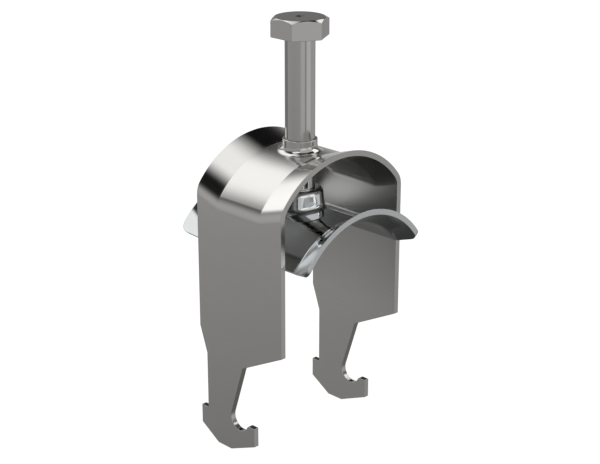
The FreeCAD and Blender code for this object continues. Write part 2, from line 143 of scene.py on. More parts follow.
class StrapSizes(bpy.types.PropertyGroup):
    """Sizes of the bent strap, its flared arch, its hooked legs and its drawn collar."""

    sheet: length("Sheet", 2.0, "Thickness of the sheet")
    edge: length("Edge break", 0.14, "Rounding of the sheet's cut edges")
    crown_radius: length("Crown radius", 32.0, "Inner radius of the arch's crown")
    corner_radius: length("Corner radius", 5.0, "Inner radius where the crown turns into the legs")
    rim_height: length("Rim height", 105.5, "Height of the flared rims of the arch")
    band_drop: length("Band drop", 3.0, "Depth of the level band below the rims")
    band_width: length("Band width", 20.0, "Width of the level band along the cable")
    crease_radius: length("Crease radius", 0.5, "Rounding of the creases beside the level band")
    shoulder: length("Shoulder", 41.75, "Height where the legs' full width ends")
    neck: length("Neck", 32.3, "Height of the top of the legs' narrow part")
    neck_rear: length("Neck rear", 16.65, "Rear edge of the narrow part, from the bolt's axis")
    neck_front: length("Neck front", 1.4, "Front edge of the narrow part at its top")
    hook: length("Hook", 11.7, "Height of the seats that bear on the rail's lips")
    heel: length("Heel", 5.0, "Height of the rear end's slanted edge")
    heel_sole: length("Heel sole", 11.65, "Rear end of the sole, from the bolt's axis")
    toe: length("Toe", 4.95, "Height of the front tip's slanted edge")
    toe_sole: length("Toe sole", 5.05, "Front end of the sole, from the bolt's axis")
    toe_reach: length("Toe reach", 6.65, "Front face of the tip, from the bolt's axis")
    notch_radius: length("Notch radius", 4.2, "Radius of the front notch")
    notch_floor: length("Notch floor", 8.7, "Height of the lowest point of the front notch")
    notch_mouth: length("Notch mouth", 3.42, "Tip's edge at the notch, from the bolt's axis")
    tip_round: length("Tip rounding", 1.0, "Rounding of the tip beside the notch")
    collar_radius: length("Collar radius", 5.8, "Outer radius of the threaded collar")
    collar_fillet: length("Collar fillet", 2.3, "Fillet between the collar and the band")
    collar_lip: length("Collar lip", 0.3, "Rounding of the collar's top edge")
    bore_radius: length("Bore radius", 5.05, "Radius of the collar's bore")
    bore_entry: length("Bore entry", 1.0, "Rounding where the bore leaves the arch's inner face")


class BoltSizes(bpy.types.PropertyGroup):
    """Sizes of the hexagon bolt and its retaining washer."""

    shank_radius: length("Shank radius", 5.0, "Radius of the shank")
    flats: length("Half width", 8.5, "Half the width across the head's flats")
    crown: length("Head crown", 8.1, "Radius of the flat on top of the head")
    corner: length("Head corner", 0.3, "Rounding of the head's upright corners")
    edge: length("Edge break", 0.12, "Rounding of the turned edges")
    head_height: length("Head height", 6.4, "Height of the head")
    dimple_radius: length("Centre mark radius", 1.5, "Radius of the centre mark")
    dimple_depth: length("Centre mark depth", 0.9, "Depth of the centre mark")
    neck_radius: length("Neck radius", 3.0, "Radius of the neck through the tray")
    shoulder: length("Shoulder", 89.6, "Height of the shoulder that stands on the tray's boss")
    button_radius: length("Button radius", 4.2, "Radius of the peened end")
    button_height: length("Button height", 1.3, "Height of the peened end")
    washer_hole: length("Washer hole", 3.05, "Radius of the washer's hole")


class TraySizes(bpy.types.PropertyGroup):
    """Sizes of the pressure tray with its flared ends and its drawn boss."""

    sheet: length("Sheet", 2.0, "Thickness of the sheet")
    edge: length("Edge break", 0.14, "Rounding of the sheet's cut edges")
    seat: length("Seat", 81.4, "Height of the underside's crown")
    seat_radius: length("Seat radius", 29.5, "Radius of the seat's underside")
    seat_length: length("Seat length", 45.4, "Length of the straight seat, between the flares")
    seat_span: length("Seat span", 49.4, "Width across the seat's outer edges")
    flare_rise: length("Flare rise", 4.6, "Rise of the ends above the seat")
    flare_swell: length("Flare swell", 0.8, "Growth of the underside's radius from seat to ends")
    bend_radius: length("Bend radius", 2.5, "Radius of the bend between seat and flare")
    wing_round: length("Wing rounding", 2.5, "Rounding of the four corners")
    boss_top: length("Boss top", 7.7, "Radius of the boss at its top, before its rounding")
    boss_draft: length("Boss draft", 0.75, "Growth of the boss's radius from top to base")
    boss_root: length("Boss root", 81.9, "Height where the boss's outline starts")
    boss_round: length("Boss rounding", 2.0, "Rounding of the boss's top edge")
    boss_fillet: length("Boss fillet", 2.0, "Fillet between the boss and the tray")
    cavity_round: length("Cavity rounding", 0.6, "Rounding inside the top of the boss")
    cavity_entry: length("Cavity entry", 1.2, "Rounding where the hollow opens under the tray")
    hole: length("Hole", 3.05, "Radius of the hole for the bolt's neck")


class FinishColours(bpy.types.PropertyGroup):
    """Colours and gloss of the steel finishes."""

    strap: tint("Strap steel", (0.61, 0.6, 0.58), "Colour of the strap's satin sheet")
    strap_gloss: gloss("Strap roughness", 0.09, "Roughness of the strap's sheet")
    bolt: tint("Bolt steel", (0.52, 0.51, 0.495), "Colour of the bolt and the washer")
    bolt_gloss: gloss("Bolt roughness", 0.14, "Roughness of the bolt")
    tray: tint("Tray steel", (0.83, 0.85, 0.86), "Colour of the polished tray")
    tray_gloss: gloss("Tray roughness", 0.03, "Roughness of the tray")


class Patchwork:
    """Grids of points and flat faces that become one mesh, with the points that meet welded.

    A finish is one (dullness, tone), an array of them, or a function of the points.
    """

    def __init__(self):
        self.points, self.faces, self.finish, self.count = [], [], [], 0

    def keep(self, points, finish):
        """Store points of shape (..., 3), each with its own finish."""
        if callable(finish):
            finish = finish(points)
        self.points.append(points.reshape(-1, 3))
        self.finish.append(np.broadcast_to(finish, points.shape[:-1] + (2,)).reshape(-1, 2))
        self.count += points.size // 3

    def grid(self, points, finish=POLISHED, closed=False):
        """Add points of shape (rows, columns, 3) as quads, closed from the last column to the first."""
        rows, columns = points.shape[:2]
        index = np.arange(rows * columns).reshape(rows, columns) + self.count
        near, far = (index, np.roll(index, -1, axis=1)) if closed else (index[:, :-1], index[:, 1:])
        quads = np.stack([near[:-1], far[:-1], far[1:], near[1:]], axis=-1)
        self.faces.extend(quads.reshape(-1, 4).tolist())
        self.keep(points, finish)

    def rim(self, loops, outer, inner, closed=False):
        """Add a cut edge, with the first and last rows finished as the faces that share them."""
        finish = np.tile(CUT, (len(loops), len(loops[0]), 1))
        finish[0], finish[-1] = outer(loops[0]), inner(loops[-1])
        self.grid(np.stack(loops), finish, closed)

    def polygon(self, points, finish=POLISHED):
        """Add one flat face."""
        self.faces.append(list(range(self.count, self.count + len(points))))
        self.keep(points, finish)

    def build(self, name):
        """Make the object: weld the points, turn the faces outwards and set the smooth normals."""
        mesh = bpy.data.meshes.new(name)
        mesh.from_pydata(np.concatenate(self.points), [], self.faces)
        for field, values in zip(("dull", "tone"), np.concatenate(self.finish).T):
            mesh.attributes.new(field, "FLOAT", "POINT").data.foreach_set("value", values.copy())
        skin = bmesh.new()
        skin.from_mesh(mesh)
        bmesh.ops.remove_doubles(skin, verts=skin.verts, dist=WELD)
        bmesh.ops.dissolve_degenerate(skin, edges=skin.edges, dist=TINY)
        bmesh.ops.recalc_face_normals(skin, faces=skin.faces)
        open_edges = sum(not edge.is_manifold for edge in skin.edges)
        skin.to_mesh(mesh)
        skin.free()
        if open_edges:
            raise RuntimeError(f"{name} has {open_edges} open edges")
        mesh.shade_smooth()
        mesh.normals_split_custom_set_from_vertices(self.weighted_normals(mesh))
        piece = bpy.data.objects.new(name, mesh)
        bpy.context.scene.collection.objects.link(piece)
        return piece

    @staticmethod
    def weighted_normals(mesh):
        """Each point's normal: its faces' normals added up, each times its area squared."""
        faces, corners = len(mesh.polygons), len(mesh.loops)
        normal, area = np.empty(faces * 3), np.empty(faces)
        size, point = np.empty(faces, int), np.empty(corners, int)
        mesh.polygons.foreach_get("normal", normal)
        mesh.polygons.foreach_get("area", area)
        mesh.polygons.foreach_get("loop_total", size)
        mesh.loops.foreach_get("vertex_index", point)
        weighted = normal.reshape(-1, 3) * (area / area.max())[:, None] ** 2
        total = np.zeros((len(mesh.vertices), 3))
        np.add.at(total, point, np.repeat(weighted, size, axis=0))
        return total / np.linalg.norm(total, axis=1, keepdims=True)


def stations(*stretches):
    """Places along a line: stretches of (start, end, segments), each divided evenly."""
    parts = [np.linspace(start, end, count + 1) for start, end, count in stretches]
    return np.concatenate([parts[0]] + [part[1:] for part in parts[1:]])


def spoke(angle):
    """The unit vectors (cos a, sin a) at angles a."""
    return np.stack([np.cos(angle), np.sin(angle)], -1)


def edge_section(sheet, radius, steps=3):
    """The cut edge's section as (inset, depth): a quarter round, the wall, a quarter round.

    On the first round, at an angle a from 0 to 90 degrees, the inset is r (1 - sin a) and the
    depth is r (1 - cos a). The second is its mirror image at the sheet's other face.
    """
    turn = np.linspace(0.0, math.pi / 2, steps + 1)
    inset, depth = radius * (1 - np.sin(turn)), radius * (1 - np.cos(turn))
    return np.concatenate([inset, inset[::-1]]), np.concatenate([depth, sheet - depth[::-1]])


def bend_lift(distance, crease, radius, rise, run):
    """How far a ruled flare lifts the sheet at a distance from the middle.

    It is nought up to the bend, a circle of the given radius tangent to both sides in the bend,
    and then the slope rise / run, measured from the crease.
    """
    lean = math.atan2(rise, run)
    begin = crease - radius * np.tan(lean / 2)
    along = np.clip(distance - begin, 0.0, radius * math.sin(lean))
    arc = radius - np.sqrt(radius ** 2 - along ** 2)
    slope = (distance - crease) * math.tan(lean)
    return np.where(distance < begin + radius * math.sin(lean), arc, slope)


def boundary(points):
    """The outer ring of a grid, going round once."""
    return np.concatenate([points[:-1, 0], points[-1, :-1], points[:0:-1, -1], points[0, :0:-1]])


def foot(direction, height, wall, draft, radius):
    """Rings of the rounding between a neck's wall and a curved face, from the wall down.

    At each direction the rounding is a circle that touches the wall line and the face. The wall
    is wall(z) at the height z and leans by the draft. The circle's centre is one radius from
    both, found by repeating: centre height = height of the face at the touch + radius times the
    cosine of the face's slope. Its points are centre - radius (cos t, sin t), from t = draft to
    t = 90 degrees - slope.
    """
    centre_z = height(np.cos(direction) * wall(0.0)) + radius
    slope = np.zeros_like(direction)
    step = radius / 100
    for _ in range(6):
        centre_r = wall(centre_z - radius * math.sin(draft)) + radius * math.cos(draft)
        touch = centre_r - radius * np.sin(slope)
        fall = height(touch * np.cos(direction)) - height((touch + step) * np.cos(direction))
        slope = np.arctan2(fall, step)
        centre_z = height(touch * np.cos(direction)) + radius * np.cos(slope)
    turn = draft + stations((0.0, 1.0, FOOT_STEPS))[:, None] * (math.pi / 2 - slope - draft)
    return centre_r - radius * np.cos(turn), centre_z - radius * np.sin(turn)


def leaning_wall(radius, height, draft):
    """The radius of a neck's wall at any height z: radius + (height - z) tan(draft)."""
    return lambda z: radius + (height - z) * math.tan(draft)


def arched_face(centre, radius):
    """The height of an arched face at any distance x from the middle: centre + sqrt(R^2 - x^2)."""
    return lambda x: centre + np.sqrt(radius ** 2 - x ** 2)


def round_rings(centre, radius, start, end, steps=6):
    """Rings of a quarter round or less about a centre (r, z), between two angles."""
    turn = np.linspace(start, end, steps + 1)
    return [(centre[0] + radius * math.cos(t), centre[1] + radius * math.sin(t)) for t in turn]


def edge_centre(wall, draft, top, radius):
    """The centre (r, z) of the rounding between a leaning wall and the level face on top of it."""
    touch = top - radius + radius * math.sin(draft)
    return wall(touch) - radius * math.cos(draft), top - radius


def rings(direction, profile):
    """Points of shape (rings, directions, 3) from a profile of (radius, height).

    Each radius and height is one number, or an array with a number for each direction.
    """
    radius, height = (np.stack([np.broadcast_to(value, len(direction)) for value in column])
                      for column in zip(*profile))
    return np.stack([radius * np.cos(direction), radius * np.sin(direction), height], -1)


def neck_field(skin, square, ring, height, finish, steps=12, crowding=1.3):
    """Fill between a neck's end ring and the square that is left out of the face around it.

    Points go in straight lines, seen from above, from the ring to the square, closer together
    near the ring by the crowding exponent, and take the face's height there.
    """
    way = np.linspace(0.0, 1.0, steps + 1)[:, None, None] ** crowding
    flat = ring[None] * (1 - way) + square[None] * way
    skin.grid(np.concatenate([flat, height(flat[..., :1])], -1), finish, closed=True)


def draw_neck(skin, square, arch, sheet, base, profile, mouth, finish, field_finishes):
    """Draw a neck out of an arched sheet, and fill the square round it on both faces.

    The arch is (centre height, outer radius). The base and the mouth are the roundings where
    the outer wall meets the outer face and the inner wall meets the inner face, each as (wall,
    draft, radius). The profile joins them over the neck's top.
    """
    centre, radius = arch
    direction = np.arctan2(square[:, 1], square[:, 0])
    outer, inner = arched_face(centre, radius), arched_face(centre, radius - sheet)
    base_rings = list(zip(*foot(direction, outer, *base)))
    mouth_rings = list(zip(*foot(direction, inner, *mouth)))
    neck = rings(direction, base_rings[::-1] + profile + mouth_rings)
    skin.grid(neck, finish, closed=True)
    neck_field(skin, square, neck[0, :, :2], outer, field_finishes[0])
    shrunk = square * np.array([1 - sheet / radius, 1.0])
    neck_field(skin, shrunk, neck[-1, :, :2], inner, field_finishes[1])


class StrapForm:
    """The strap's two faces as functions of the place along its section and across its depth."""

    def __init__(self, size):
        half = STRAP_BOX[1].x
        self.size, self.half = size, half
        self.depth = STRAP_BOX[1].y
        self.outer_crown = size.crown_radius + size.sheet
        self.crown_z = size.rim_height - size.band_drop - self.outer_crown
        self.corner_x = half - size.sheet - size.corner_radius
        self.lean = math.acos(self.corner_x / (size.crown_radius - size.corner_radius))
        self.corner_z = self.crown_z + self.corner_x * math.tan(self.lean)
        self.leg_top = size.shoulder + size.sheet / 2
        self.crease = size.band_width / 2
        self.bend_end = self.crease + size.crease_radius / 2
        self.collar_half = self.crease - size.crease_radius / 2
        self.collar_angle = math.asin(self.collar_half / self.outer_crown)

    def section(self):
        """The right half's section as arrays of x, z, outward normal x, z and share of the lift."""
        size = self.size
        leg = stations((0.0, 1.0, 8))[:-1]
        corner = stations((0.0, self.lean, 24))[:-1]
        edge = math.pi / 2 - self.collar_angle
        crown = stations((self.lean, edge, 40), (edge, math.pi / 2, NECK_CELLS))
        outer = size.corner_radius + size.sheet
        angle = np.concatenate([np.zeros(len(leg)), corner, crown])
        x = np.concatenate([np.full(len(leg), self.half), self.corner_x + outer * np.cos(corner),
                            self.outer_crown * np.cos(crown)])
        z = np.concatenate([self.leg_top + (self.corner_z - self.leg_top) * leg,
                            self.corner_z + outer * np.sin(corner),
                            self.crown_z + self.outer_crown * np.sin(crown)])
        lift = np.concatenate([leg, np.ones(len(corner) + len(crown))])
        half = np.stack([x, z, np.cos(angle), np.sin(angle), lift], -1)
        other = half[-2::-1] * np.array([-1, 1, -1, 1, 1])
        return np.concatenate([half, other])

    def lift(self, across):
        """How far the flares lift the crown at a place across the strap's depth."""
        size, run = self.size, self.depth - self.crease
        return bend_lift(np.abs(across), self.crease, size.crease_radius, size.band_drop, run)

    def face(self, section, across, depth):
        """Points at a depth below the outer face.

        x and z are the section's point less depth times its normal, and z gains the lift of the
        flare at that place across times the section's own share of it.
        """
        x = section[:, None, 0] - depth * section[:, None, 2]
        z = section[:, None, 1] - depth * section[:, None, 3]
        x, y = np.broadcast_arrays(x, across[None, :])
        z = z + self.lift(across)[None, :] * section[:, None, 4]
        return np.stack([x, y, z], -1)

    def outside(self, points):
        """Brushed, duller from drawing and darker with painted shade round the collar, and polished
        past the crease of each flare.
        """
        start = self.size.collar_radius + self.size.collar_fillet
        near = (DRAWN_REACH - np.linalg.norm(points[..., :2], axis=-1)) / (DRAWN_REACH - start)
        base = BRUSHED + (DRAWN_AND_SHADED - BRUSHED) * np.clip(near, 0.0, 1.0)[..., None]
        past = (np.abs(points[..., 1]) - self.crease) / self.size.crease_radius
        flared = np.clip((points[..., 2] - self.corner_z) / self.size.corner_radius, 0.0, 1.0)
        return base + (POLISHED - base) * (np.clip(past, 0.0, 1.0) * flared)[..., None]

    def inside(self, points):
        """Duller, and darker with painted shade, from the legs up to the arch."""
        # the falling tone is painted shade inside the arch
        up = np.clip((points[..., 2] - self.leg_top) / (self.corner_z - self.leg_top), 0.0, 1.0)
        return MATT + (SHADED - MATT) * up[..., None]

    def leg(self):
        """The leg's outline in (y, z), from the front edge down round the hook to the rear edge.

        The notch is an arc tangent to the neck's front edge, and the tip beside it is rounded by
        a circle that touches the notch from outside and the seat from below.
        """
        s = self.size
        notch_z = s.notch_floor + s.notch_radius
        behind_mouth = math.sqrt(s.notch_radius ** 2 - (notch_z - s.hook) ** 2)
        centre = np.array([behind_mouth - s.notch_mouth, notch_z])
        start = np.array([-s.neck_front, s.neck])
        reach = start - centre
        far = math.hypot(*reach)
        touch = math.atan2(reach[1], reach[0]) - math.acos(s.notch_radius / far)
        tip_z = s.hook - s.tip_round
        apart = s.notch_radius + s.tip_round
        tip = np.array([centre[0] - math.sqrt(apart ** 2 - (centre[1] - tip_z) ** 2), tip_z])
        meet = math.atan2(tip[1] - centre[1], tip[0] - centre[0])
        hollow = stations((touch, meet, 32))
        nose = stations((meet + math.pi, math.pi / 2, 8))[1:]
        notch, round_tip = centre + s.notch_radius * spoke(hollow), tip + s.tip_round * spoke(nose)
        return np.concatenate([
            [(-self.depth, self.leg_top), (-self.depth, s.shoulder), start], notch, round_tip,
            [(-s.toe_reach, s.hook), (-s.toe_reach, s.toe), (s.toe_sole, 0.0), (s.heel_sole, 0.0),
             (self.depth, s.heel), (self.depth, s.hook), (s.neck_rear, s.hook),
             (s.neck_rear, s.neck), (self.depth, s.shoulder), (self.depth, self.leg_top)]])


def inset_outline(outline, inset):
    """Move an open outline to its left by an inset.

    Each corner moves along the sum of its two sides' normals, divided by one plus their product.
    """
    side = np.diff(outline, axis=0)
    side /= np.linalg.norm(side, axis=1, keepdims=True)
    normal = np.stack([-side[:, 1], side[:, 0]], -1)
    before, after = np.concatenate([normal[:1], normal]), np.concatenate([normal, normal[-1:]])
    mitre = (before + after) / (1 + np.sum(before * after, axis=1, keepdims=True))
    return outline + inset * mitre


def hold_corners(outline, gap):
    """Add a point near both ends of each long side, so that the shading turns at the corners only."""
    points = []
    for start, end in zip(outline[:-1], outline[1:]):
        step = (end - start) / np.linalg.norm(end - start)
        points.append(start)
        if np.linalg.norm(end - start) > 4 * gap:
            points += [start + step * gap, end - step * gap]
    return np.stack(points + [outline[-1]])


def build_strap(size):
    """Two faces, the cut edges all round, the legs' flat faces and the drawn collar."""
    form, skin = StrapForm(size), Patchwork()
    section = form.section()
    inset, depth = edge_section(size.sheet, size.edge)
    band = stations((-form.collar_half, form.collar_half, 2 * NECK_CELLS))
    flare = stations((form.collar_half, form.bend_end, 5), (form.bend_end, form.depth - size.edge, 10))
    first, last = np.flatnonzero(np.abs(section[:, 0]) <= form.collar_half + TINY)[[0, -1]]
    for level, finish in ((0.0, form.outside), (size.sheet, form.inside)):
        skin.grid(form.face(section, flare, level), finish)
        skin.grid(form.face(section, -flare[::-1], level), finish)
        skin.grid(form.face(section[:first + 1], band, level), finish)
        skin.grid(form.face(section[last:], band, level), finish)

    outline = hold_corners(form.leg(), size.edge)
    across = np.concatenate([-flare[::-1], band[1:-1], flare])[-2:0:-1]
    for sign in (-1, 1):
        rim, loops = [], []
        for i, d in zip(inset, depth):
            rim.append(form.face(section, np.array([sign * (form.depth - i)]), d)[:, 0])
            flat = inset_outline(outline, i)
            loops.append(np.insert(flat, 0, sign * (form.half - d), axis=1))
        skin.rim(rim, form.outside, form.inside)
        skin.rim(loops, form.outside, form.inside)
        for loop, finish in ((loops[0], form.outside), (loops[-1], form.inside)):
            seam = np.stack(np.broadcast_arrays(loop[0, 0], across, form.leg_top), -1)
            skin.polygon(np.concatenate([loop, seam]), finish)

    square = boundary(form.face(section[first:last + 1][::-1], band, 0.0)[..., :2])
    top, lip, bevel = STRAP_BOX[1].z, size.collar_lip, size.edge
    profile = round_rings((size.collar_radius - lip, top - lip), lip, 0.0, math.pi / 2)
    profile += round_rings((size.bore_radius + bevel, top - bevel), bevel, math.pi / 2, math.pi)
    # the collar fades from polished outside to painted shade down the bore, and the inner face round
    # the bore has painted shade
    draw_neck(skin, square, (form.crown_z, form.outer_crown), size.sheet,
              (leaning_wall(size.collar_radius, top, 0.0), 0.0, size.collar_fillet), profile,
              (leaning_wall(size.bore_radius, top, 0.0), 0.0, size.bore_entry),
              lambda neck: np.linspace(POLISHED, SHADED, len(neck))[:, None],
              (form.outside, SHADED))
    return skin.build("strap_shell")


class TrayForm:
    """The tray's two faces as functions of the angle round its section and the place along it."""

    def __init__(self, size):
        self.size = size
        self.pivot = size.seat - size.seat_radius
        self.top_radius = size.seat_radius + size.sheet
        self.reach = math.asin(size.seat_span / 2 / self.top_radius)
        self.end = TRAY_BOX[1].y
        self.crease = size.seat_length / 2
        self.run = self.end - self.crease
        self.slope = math.atan2(size.flare_rise, self.run)

    def face(self, angle, along, depth):
        """Points at an angle from upright about the seat's centre line, at a depth.

        The flare moves the section's centre up by h and grows its radius R. The distance t from
        the pivot solves |t d - h| = R, so t = h cos a + sqrt(R^2 - h^2 sin^2 a).
        """
        size = self.size
        bend = size.bend_radius + depth
        lift = bend_lift(np.abs(along), self.crease, bend, size.flare_rise, self.run)
        grown = lift / size.flare_rise
        radius = self.top_radius - depth + size.flare_swell * grown
        rise = (size.flare_rise - size.flare_swell) * grown
        t = rise * np.cos(angle) + np.sqrt(radius ** 2 - (rise * np.sin(angle)) ** 2)
        x, z = t * np.sin(angle), self.pivot + t * np.cos(angle)
        return np.stack(np.broadcast_arrays(x, along, z), -1)

    def domain(self, inset):
        """The grid of (angle, place along) with rounded corners, moved in by an inset.

        Rows past the corner's start lie on y = Y - r + r sin b, and their half width is
        A - r (1 - cos b), with b from 0 to 90 degrees.
        """
        size = self.size
        wide = self.top_radius * self.reach - inset
        long = self.end - inset
        round_wide = size.wing_round - inset
        round_long = size.wing_round * math.cos(self.slope) - inset
        turn = stations((0.0, math.pi / 2, 12))[1:]
        bend = size.bend_radius + size.sheet
        bend_start = self.crease - bend * math.tan(self.slope / 2)
        bend_end = bend_start + bend * math.sin(self.slope)
        straight = stations((0.0, BOSS_FIELD, NECK_CELLS), (BOSS_FIELD, bend_start, 10),
                            (bend_start, bend_end, 10), (bend_end, long - round_long, 5))
        place = np.concatenate([straight, long - round_long + round_long * np.sin(turn)])
        width = np.concatenate([np.full(len(straight), wide),
                                wide - round_wide * (1 - np.cos(turn))])
        place = np.concatenate([-place[:0:-1], place])
        width = np.concatenate([width[:0:-1], width])
        field = BOSS_FIELD / wide
        spread = stations((-1.0, -field, 30), (-field, field, 2 * NECK_CELLS), (field, 1.0, 30))
        angle = spread[:, None] * width[None, :] / self.top_radius
        return angle, np.broadcast_to(place, angle.shape)

    def polish(self, points):
        """Polished in the middle; the flares, past the creases, are duller from the press."""
        past = (np.abs(points[..., 1]) - self.crease) / self.size.bend_radius + 0.5
        return POLISHED + (PRESSED - POLISHED) * np.clip(past, 0.0, 1.0)[..., None]


def build_tray(size):
    """Two faces with a square left out, the cut edges all round and the drawn boss."""
    form, skin = TrayForm(size), Patchwork()
    inset, depth = edge_section(size.sheet, size.edge)
    angle, along = form.domain(inset[0])
    row, column = angle.shape[0] // 2, angle.shape[1] // 2
    before, after = column - NECK_CELLS, column + NECK_CELLS
    left, right = row - NECK_CELLS, row + NECK_CELLS
    for level in (0.0, size.sheet):
        points = form.face(angle, along, level)
        skin.grid(points[:, :before + 1], form.polish)
        skin.grid(points[:, after:], form.polish)
        skin.grid(points[:left + 1, before:after + 1])
        skin.grid(points[right:, before:after + 1])
    loops = [boundary(form.face(*form.domain(i), d)) for i, d in zip(inset, depth)]
    skin.rim(loops, form.polish, form.polish, closed=True)

    window = form.face(angle, along, 0.0)[left:right + 1, before:after + 1]
    square = boundary(window[..., :2])
    top, bevel = TRAY_BOX[1].z, size.edge
    roof, floor = top - size.sheet, size.seat - size.sheet
    outer_draft = math.atan2(size.boss_draft, top - size.boss_root)
    inner_draft = math.atan2(size.boss_draft, roof - floor)
    outer_wall = leaning_wall(size.boss_top, top, outer_draft)
    inner_wall = leaning_wall(size.boss_top + size.boss_draft - size.sheet, floor, inner_draft)
    edge = edge_centre(outer_wall, outer_draft, top, size.boss_round)
    profile = round_rings(edge, size.boss_round, outer_draft, math.pi / 2)
    profile += round_rings((size.hole + bevel, top - bevel), bevel, math.pi / 2, math.pi, 3)
    profile += round_rings((size.hole + bevel, roof + bevel), bevel, math.pi, math.pi * 1.5, 3)
    edge = edge_centre(inner_wall, inner_draft, roof, size.cavity_round)
    profile += round_rings(edge, size.cavity_round, math.pi / 2, inner_draft)

    def finish(neck):
        """Polished, but for two brushed rings at each end of the outer wall."""
        rows = np.tile(POLISHED, (len(neck), 1, 1))
        rows[FOOT_STEPS - 1:FOOT_STEPS + 3] = BRUSHED
        return rows

    draw_neck(skin, square, (form.pivot, form.top_radius), size.sheet,
              (outer_wall, outer_draft, size.boss_fillet), profile,
              (inner_wall, inner_draft, size.cavity_entry), finish, (POLISHED, POLISHED))
    return skin.build("tray_shell")


def hexagon(size):
    """The head's outline as (direction, distance): six flats joined by rounded corners."""
    inner = (size.flats - size.corner) / math.cos(math.pi / 6)
    middle = math.pi / 2 + np.arange(6)[:, None] * math.pi / 3
    turn = middle + stations((-math.pi / 6, math.pi / 6, 4))
    corners = inner * spoke(middle) + size.corner * spoke(turn)
    following = np.roll(corners[:, :1], -1, axis=0)
    way = stations((0.0, 1.0, 18))[1:-1, None]
    flats = corners[:, -1:] * (1 - way) + following * way
    outline = np.concatenate([corners, flats], axis=1).reshape(-1, 2)
    return np.arctan2(outline[:, 1], outline[:, 0]), np.hypot(outline[:, 0], outline[:, 1])


def build_bolt(size):
    """Rings from the peened end up to the centre mark, all on the head's own directions."""
    direction, distance = hexagon(size)
    top, bottom = BOLT_BOX[1].z, BOLT_BOX[0].z
    under, e = top - size.head_height, size.edge
    ball = size.button_height / 2
    button_top = bottom + size.button_height

    def cone(radius):
        """The height of the head's chamfer: top - (radius - crown radius) tan(chamfer)."""
        return top - (radius - size.crown) * math.tan(HEAD_CHAMFER)

    profile = [(0.0, bottom)]
    profile += round_rings((size.button_radius - ball, bottom + ball), ball, -math.pi / 2, 0.0)
    profile += round_rings((size.button_radius - e, button_top - e), e, 0.0, math.pi / 2, 2)
    profile += [(size.neck_radius + e, button_top), (size.neck_radius, button_top)]
    profile += [(size.neck_radius, z) for z in (button_top + e, size.shoulder - e, size.shoulder)]
    profile.append((size.neck_radius + e, size.shoulder))
    profile += round_rings((size.shank_radius - e, size.shoulder + e), e, -math.pi / 2, 0.0, 2)
    profile += [(size.shank_radius, z) for z in stations((size.shoulder + 2 * e, under - e, 12))]
    profile += [(size.shank_radius, under), (size.shank_radius + e, under)]
    profile += [(size.flats - 3 * e, under), (distance - e, under), (distance, under + e)]
    profile += [(distance, cone(distance) - e), (distance - e, cone(distance - e))]
    profile += [(size.crown + e, cone(size.crown + e)), (size.crown - e, top)]
    profile += [(size.dimple_radius + e, top), (size.dimple_radius - e, top - e)]
    profile += [(0.0, top - size.dimple_depth)]

    def finish(points):
        """Matt on top of the head, rougher and dark with painted shade in the centre mark, and polished
        elsewhere.
        """
        radius = np.hypot(points[..., 0], points[..., 1])
        crown = (points[..., 2] > top - 2 * size.dimple_depth) & (radius < size.crown)
        marked = crown & (radius < size.dimple_radius)
        return np.where(marked[..., None], SHADED_MARK, np.where(crown[..., None], MATT, POLISHED))

    skin = Patchwork()
    skin.grid(rings(direction, profile), finish, closed=True)
    return skin.build("hexagon_bolt")


def build_washer(size):
    """A flat ring: its four corners are quarter rounds carried once round the axis."""
    e = size.edge
    low, high = WASHER_BOX[0].z + e, WASHER_BOX[1].z - e
    inner, outer = size.washer_hole + e, WASHER_BOX[1].x - e
    profile = []
    for quarter, corner in enumerate(((outer, low), (outer, high), (inner, high), (inner, low))):
        start = (quarter - 1) * math.pi / 2
        profile += round_rings(corner, e, start, start + math.pi / 2, 3)
    profile.append(profile[0])
    skin = Patchwork()
    skin.grid(rings(stations((0.0, 2 * math.pi, 96))[:-1], profile), closed=True)
    return skin.build("lock_ring")


def direction_to(azimuth, elevation):
    """The unit vector at an azimuth from +X towards +Y and an elevation, both in degrees."""
    turn, lift = math.radians(azimuth), math.radians(elevation)
    return Vector((math.cos(lift) * math.cos(turn), math.cos(lift) * math.sin(turn), math.sin(lift)))


class Nodes:
    """A short way to add and join the nodes of one tree."""

    def __init__(self, tree):
        self.tree = tree

    def add(self, kind, inputs=(), **settings):
        """Add a node, set its fields, and set or join its inputs by name or number."""
        node = self.tree.nodes.new(kind)
        for field, value in settings.items():
            setattr(node, field, value)
        self.fill(node, dict(inputs))
        return node

    def fill(self, node, inputs):
        """Join each input to the socket given for it, or set it to the value."""
        for key, value in inputs.items():
            if isinstance(value, bpy.types.NodeSocket):
                self.tree.links.new(value, node.inputs[key])
            else:
                node.inputs[key].default_value = value

    def math(self, operation, *values):
        """One step of arithmetic on sockets or numbers."""
        return self.add("ShaderNodeMath", enumerate(values), operation=operation).outputs[0]

    def dot(self, *values):
        """The product of two vectors."""
        node = self.add("ShaderNodeVectorMath", enumerate(values), operation="DOT_PRODUCT")
        return node.outputs["Value"]

    def ramp(self, factor, stops):
        """Greys between stops of (position, value)."""
        node = self.add("ShaderNodeValToRGB", {"Fac": factor})
        places = node.color_ramp.elements
        while len(places) < len(stops):
            places.new(1.0)
        for place, (position, value) in zip(places, stops):
            place.position = position
            place.color = (value, value, value, 1.0)
        return node.outputs["Color"]


def new_group(name, inputs, outputs):
    """Start a node group with named sockets and give its tree, its input node and output node."""
    tree = bpy.data.node_groups.new(name, "ShaderNodeTree")
    for label, kind, value in inputs:
        socket = tree.interface.new_socket(label, in_out="INPUT", socket_type=kind)
        socket.default_value = value
    for label, kind in outputs:
        tree.interface.new_socket(label, in_out="OUTPUT", socket_type=kind)
    nodes = Nodes(tree)
    return nodes, nodes.add("NodeGroupInput"), nodes.add("NodeGroupOutput")


